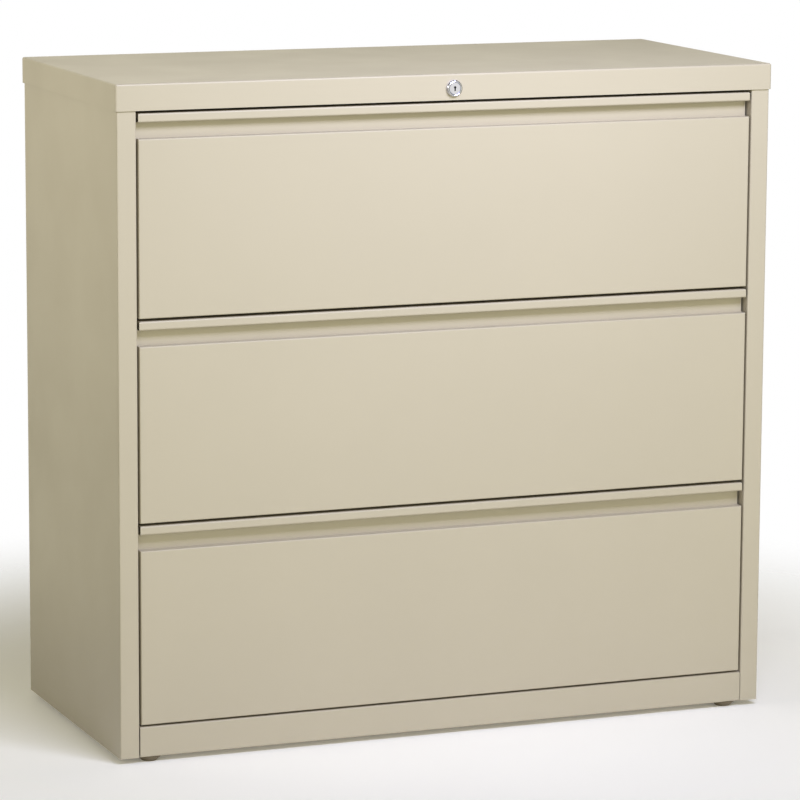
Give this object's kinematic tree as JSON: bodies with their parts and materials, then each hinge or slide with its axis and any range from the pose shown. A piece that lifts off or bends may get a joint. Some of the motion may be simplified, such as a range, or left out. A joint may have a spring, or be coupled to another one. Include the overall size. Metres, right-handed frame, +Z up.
{
  "type": "lateral filing cabinet",
  "caption": "Lateral filing cabinet in folded sheet steel with full-width recessed pulls, ball slides, a cap, a cam lock and levelling glides.",
  "frame": {"origin": "on the floor, in the middle of the footprint", "axes": "+Z up, -Y towards the front (the drawer fronts), +X to the right as seen from the front"},
  "size_m": [1.067, 0.479, 1.022],
  "materials": {
    "case_paint": "satin fine-textured powder coat, putty",
    "front_paint": "satin fine-textured powder coat, putty",
    "inner_paint": "satin powder coat, thinner inside the case",
    "drawer_paint": "satin powder coat",
    "rail_zinc": "zinc plated",
    "cage_steel": "bright steel",
    "slide_zinc": "zinc plated, rolled",
    "lock_chrome": "polished",
    "lock_zinc": "zinc plated",
    "guide_nylon": "natural nylon",
    "glide_nylon": "moulded nylon, tan",
    "fastener_zinc": "zinc plated",
    "weight_steel": "black oxide hot-rolled plate"
  },
  "bodies": {
    "cabinet": {"left_side_panel": "case_paint", "right_side_panel": "case_paint", "back_panel": "case_paint", "top_cap": "case_paint", "top_front_rail": "case_paint", "kick_rail": "case_paint", "base_pan": "inner_paint", "glide_nuts": "fastener_zinc", "counterweight": "weight_steel", "left_front_upright": "inner_paint", "left_rear_upright": "inner_paint", "right_front_upright": "inner_paint", "right_rear_upright": "inner_paint", "slide_screws": "fastener_zinc", "left_cabinet_slides": "slide_zinc", "right_cabinet_slides": "slide_zinc", "lock_barrel": "lock_chrome", "lock_nut": "lock_zinc", "lock_bar_guides": "guide_nylon"},
    "bottom_drawer": {"bottom_drawer_front": "front_paint", "bottom_drawer_front_liner": "drawer_paint", "bottom_drawer_bottom": "drawer_paint", "bottom_drawer_right_side": "drawer_paint", "bottom_drawer_left_side": "drawer_paint", "bottom_drawer_back": "drawer_paint", "bottom_drawer_hang_rails": "rail_zinc", "bottom_drawer_slide_members": "slide_zinc"},
    "bottom_drawer_middle_slides": {"bottom_drawer_middle_slides": "slide_zinc"},
    "bottom_drawer_outer_ball_cages": {"bottom_drawer_outer_ball_cages": "cage_steel"},
    "bottom_drawer_inner_ball_cages": {"bottom_drawer_inner_ball_cages": "cage_steel"},
    "middle_drawer": {"middle_drawer_front": "front_paint", "middle_drawer_front_liner": "drawer_paint", "middle_drawer_bottom": "drawer_paint", "middle_drawer_right_side": "drawer_paint", "middle_drawer_left_side": "drawer_paint", "middle_drawer_back": "drawer_paint", "middle_drawer_hang_rails": "rail_zinc", "middle_drawer_slide_members": "slide_zinc"},
    "middle_drawer_middle_slides": {"middle_drawer_middle_slides": "slide_zinc"},
    "middle_drawer_outer_ball_cages": {"middle_drawer_outer_ball_cages": "cage_steel"},
    "middle_drawer_inner_ball_cages": {"middle_drawer_inner_ball_cages": "cage_steel"},
    "top_drawer": {"top_drawer_front": "front_paint", "top_drawer_front_liner": "drawer_paint", "top_drawer_bottom": "drawer_paint", "top_drawer_right_side": "drawer_paint", "top_drawer_left_side": "drawer_paint", "top_drawer_back": "drawer_paint", "top_drawer_hang_rails": "rail_zinc", "top_drawer_slide_members": "slide_zinc"},
    "top_drawer_middle_slides": {"top_drawer_middle_slides": "slide_zinc"},
    "top_drawer_outer_ball_cages": {"top_drawer_outer_ball_cages": "cage_steel"},
    "top_drawer_inner_ball_cages": {"top_drawer_inner_ball_cages": "cage_steel"},
    "lock_plug": {"lock_plug": "lock_chrome", "lock_rod": "lock_zinc"},
    "lock_bar": {"lock_bar": "lock_zinc"},
    "front_left_glide": {"front_left_glide": "glide_nylon"},
    "front_right_glide": {"front_right_glide": "glide_nylon"},
    "rear_left_glide": {"rear_left_glide": "glide_nylon"},
    "rear_right_glide": {"rear_right_glide": "glide_nylon"}
  },
  "joints": [
    {"name": "bottom_drawer_slide", "type": "slide", "parent": "cabinet", "child": "bottom_drawer", "axis": [0, -1, 0], "range_m": [0, 0.4]},
    {"name": "bottom_drawer_middle_slides_slide", "type": "slide", "parent": "cabinet", "child": "bottom_drawer_middle_slides", "axis": [0, -1, 0], "range_m": [0, 0.2]},
    {"name": "bottom_drawer_outer_ball_cages_slide", "type": "slide", "parent": "cabinet", "child": "bottom_drawer_outer_ball_cages", "axis": [0, -1, 0], "range_m": [0, 0.1]},
    {"name": "bottom_drawer_inner_ball_cages_slide", "type": "slide", "parent": "cabinet", "child": "bottom_drawer_inner_ball_cages", "axis": [0, -1, 0], "range_m": [0, 0.3]},
    {"name": "middle_drawer_slide", "type": "slide", "parent": "cabinet", "child": "middle_drawer", "axis": [0, -1, 0], "range_m": [0, 0.4]},
    {"name": "middle_drawer_middle_slides_slide", "type": "slide", "parent": "cabinet", "child": "middle_drawer_middle_slides", "axis": [0, -1, 0], "range_m": [0, 0.2]},
    {"name": "middle_drawer_outer_ball_cages_slide", "type": "slide", "parent": "cabinet", "child": "middle_drawer_outer_ball_cages", "axis": [0, -1, 0], "range_m": [0, 0.1]},
    {"name": "middle_drawer_inner_ball_cages_slide", "type": "slide", "parent": "cabinet", "child": "middle_drawer_inner_ball_cages", "axis": [0, -1, 0], "range_m": [0, 0.3]},
    {"name": "top_drawer_slide", "type": "slide", "parent": "cabinet", "child": "top_drawer", "axis": [0, -1, 0], "range_m": [0, 0.4]},
    {"name": "top_drawer_middle_slides_slide", "type": "slide", "parent": "cabinet", "child": "top_drawer_middle_slides", "axis": [0, -1, 0], "range_m": [0, 0.2]},
    {"name": "top_drawer_outer_ball_cages_slide", "type": "slide", "parent": "cabinet", "child": "top_drawer_outer_ball_cages", "axis": [0, -1, 0], "range_m": [0, 0.1]},
    {"name": "top_drawer_inner_ball_cages_slide", "type": "slide", "parent": "cabinet", "child": "top_drawer_inner_ball_cages", "axis": [0, -1, 0], "range_m": [0, 0.3]},
    {"name": "lock_turn", "type": "hinge", "parent": "cabinet", "child": "lock_plug", "pos_m": [0, -0.231, 1], "axis": [0, 1, 0], "range_deg": [0, 90]},
    {"name": "lock_bar_lift", "type": "slide", "parent": "cabinet", "child": "lock_bar", "axis": [0, 0, 1], "range_m": [0, 0.01414]},
    {"name": "front_left_glide_turn", "type": "hinge", "parent": "cabinet", "child": "front_left_glide", "pos_m": [-0.48, -0.2115, 0], "axis": [0, 0, 1], "continuous": true},
    {"name": "front_right_glide_turn", "type": "hinge", "parent": "cabinet", "child": "front_right_glide", "pos_m": [0.48, -0.2115, 0], "axis": [0, 0, 1], "continuous": true},
    {"name": "rear_left_glide_turn", "type": "hinge", "parent": "cabinet", "child": "rear_left_glide", "pos_m": [-0.48, 0.2125, 0], "axis": [0, 0, 1], "continuous": true},
    {"name": "rear_right_glide_turn", "type": "hinge", "parent": "cabinet", "child": "rear_right_glide", "pos_m": [0.48, 0.2125, 0], "axis": [0, 0, 1], "continuous": true}
  ],
  "couplings": [
    {"joint": "bottom_drawer_middle_slides_slide", "follows": "bottom_drawer_slide", "ratio": 0.5},
    {"joint": "bottom_drawer_outer_ball_cages_slide", "follows": "bottom_drawer_slide", "ratio": 0.25},
    {"joint": "bottom_drawer_inner_ball_cages_slide", "follows": "bottom_drawer_slide", "ratio": 0.75},
    {"joint": "middle_drawer_middle_slides_slide", "follows": "middle_drawer_slide", "ratio": 0.5},
    {"joint": "middle_drawer_outer_ball_cages_slide", "follows": "middle_drawer_slide", "ratio": 0.25},
    {"joint": "middle_drawer_inner_ball_cages_slide", "follows": "middle_drawer_slide", "ratio": 0.75},
    {"joint": "top_drawer_middle_slides_slide", "follows": "top_drawer_slide", "ratio": 0.5},
    {"joint": "top_drawer_outer_ball_cages_slide", "follows": "top_drawer_slide", "ratio": 0.25},
    {"joint": "top_drawer_inner_ball_cages_slide", "follows": "top_drawer_slide", "ratio": 0.75},
    {"joint": "lock_turn", "follows": "lock_bar_lift", "rad_per_m": 111.07}
  ]
}
